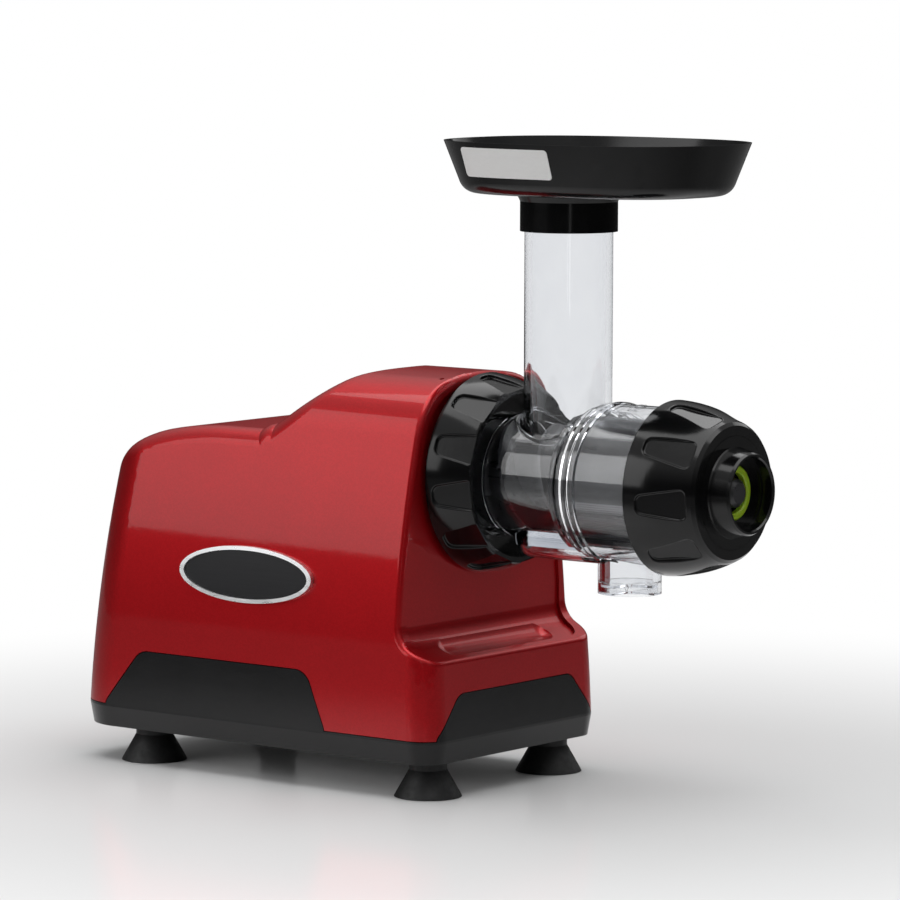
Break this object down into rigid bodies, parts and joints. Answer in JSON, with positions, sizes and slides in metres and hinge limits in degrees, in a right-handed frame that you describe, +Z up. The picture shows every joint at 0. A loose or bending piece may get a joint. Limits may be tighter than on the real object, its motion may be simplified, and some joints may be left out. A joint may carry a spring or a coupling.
{
  "type": "cold press juicer",
  "caption": "Horizontal slow juicer: red housing on a black base, clear drum with feed chute and oval hopper, locking ring, end cap with pulp nozzle and a juice spout.",
  "frame": {"origin": "on the floor under the centre of the bounding box", "axes": "+X along the auger axis towards the pulp nozzle, +Z up, -Y the side with the badge"},
  "size_m": [0.3831, 0.1441, 0.3264],
  "materials": {
    "red_shell": "metallic red lacquer over ABS, gloss",
    "black_base": "satin-gloss black",
    "black_gloss": "high gloss black",
    "hopper_black": "satin-gloss black",
    "clear_drum": "clear, polished",
    "chrome_trim": "polished",
    "badge_black": "fine grained black, gloss",
    "black_rubber": "matte",
    "grey_rubber": "matte",
    "lime_silicone": "satin silicone",
    "label_white": "matte paper-white film",
    "auger_black": "satin black",
    "screen_steel": "fine perforated sheet",
    "shaft_steel": "ground steel",
    "screw_steel": "zinc plated",
    "lamination": "stacked laminations",
    "copper": "enamelled copper wire",
    "bronze": "sintered bronze",
    "brass_blade": "plated brass",
    "plate_aluminium": "die cast",
    "nylon_gear": "natural nylon",
    "board_green": "solder mask",
    "capacitor_grey": "moulded case"
  },
  "bodies": {
    "machine": {"body_shell": "red_shell", "base_tray": "black_base", "badge_bezel": "chrome_trim", "badge_plate": "badge_black", "switch_bezel": "black_gloss", "switch_body": "black_base", "power_inlet": "black_base", "inlet_pins": "brass_blade", "foot_front_near": "black_rubber", "foot_front_far": "black_rubber", "foot_rear_near": "black_rubber", "foot_rear_far": "black_rubber", "foot_screws": "screw_steel", "housing_screws": "screw_steel", "socket_screws": "screw_steel", "drum_socket": "black_base", "drum": "clear_drum", "drum_seal": "grey_rubber", "screen_frame": "auger_black", "screen_mesh": "screen_steel", "motor_stator": "lamination", "motor_windings": "copper", "motor_front_bracket": "plate_aluminium", "motor_rear_bracket": "plate_aluminium", "motor_bearings": "bronze", "motor_bolts": "screw_steel", "motor_mounts": "grey_rubber", "gear_plate_rear": "plate_aluminium", "gear_plate_front": "plate_aluminium", "gear_bushes": "bronze", "plate_posts": "shaft_steel", "plate_bolts": "screw_steel", "control_board": "board_green", "run_capacitor": "capacitor_grey"},
    "auger_drive": {"auger": "auger_black", "auger_shaft": "shaft_steel", "drive_spindle": "shaft_steel", "output_gear": "shaft_steel"},
    "idler": {"idler_gear": "nylon_gear", "idler_pinion": "shaft_steel", "idler_shaft": "shaft_steel"},
    "rotor": {"rotor_core": "lamination", "rotor_shaft": "shaft_steel", "motor_pinion": "shaft_steel", "cooling_fan": "auger_black"},
    "ring": {"lock_ring": "black_gloss"},
    "cap": {"end_cap": "black_gloss", "outlet_nozzle": "black_gloss", "outlet_seal": "lime_silicone"},
    "drip_stop": {"spout_collar": "clear_drum"},
    "hopper_tray": {"hopper": "hopper_black", "hopper_label": "label_white"},
    "rocker": {"switch_rocker": "black_gloss"}
  },
  "joints": [
    {"name": "auger_spin", "type": "hinge", "parent": "machine", "child": "auger_drive", "pos_m": [0.08, 0, 0.158], "axis": [1, 0, 0], "continuous": true},
    {"name": "idler_spin", "type": "hinge", "parent": "machine", "child": "idler", "pos_m": [-0.03, 0.02426, 0.12159], "axis": [1, 0, 0], "continuous": true},
    {"name": "rotor_spin", "type": "hinge", "parent": "machine", "child": "rotor", "pos_m": [-0.11, 0, 0.095], "axis": [1, 0, 0], "continuous": true},
    {"name": "lock_ring_turn", "type": "hinge", "parent": "machine", "child": "ring", "pos_m": [0.04, 0, 0.158], "axis": [1, 0, 0], "range_deg": [-40, 0]},
    {"name": "cap_turn", "type": "hinge", "parent": "machine", "child": "cap", "pos_m": [0.16, 0, 0.158], "axis": [1, 0, 0], "range_deg": [0, 30]},
    {"name": "drip_stop_turn", "type": "hinge", "parent": "machine", "child": "drip_stop", "pos_m": [0.1186, 0, 0.107], "axis": [0, 0, 1], "range_deg": [0, 90]},
    {"name": "hopper_lift", "type": "slide", "parent": "machine", "child": "hopper_tray", "axis": [0, 0, 1], "range_m": [0, 0.06]},
    {"name": "switch_rock", "type": "hinge", "parent": "machine", "child": "rocker", "pos_m": [-0.086, 0, 0.174], "axis": [0, 1, 0], "range_deg": [-12, 12]}
  ],
  "couplings": [
    {"joint": "idler_spin", "follows": "auger_spin", "ratio": -4},
    {"joint": "rotor_spin", "follows": "auger_spin", "ratio": 20}
  ]
}
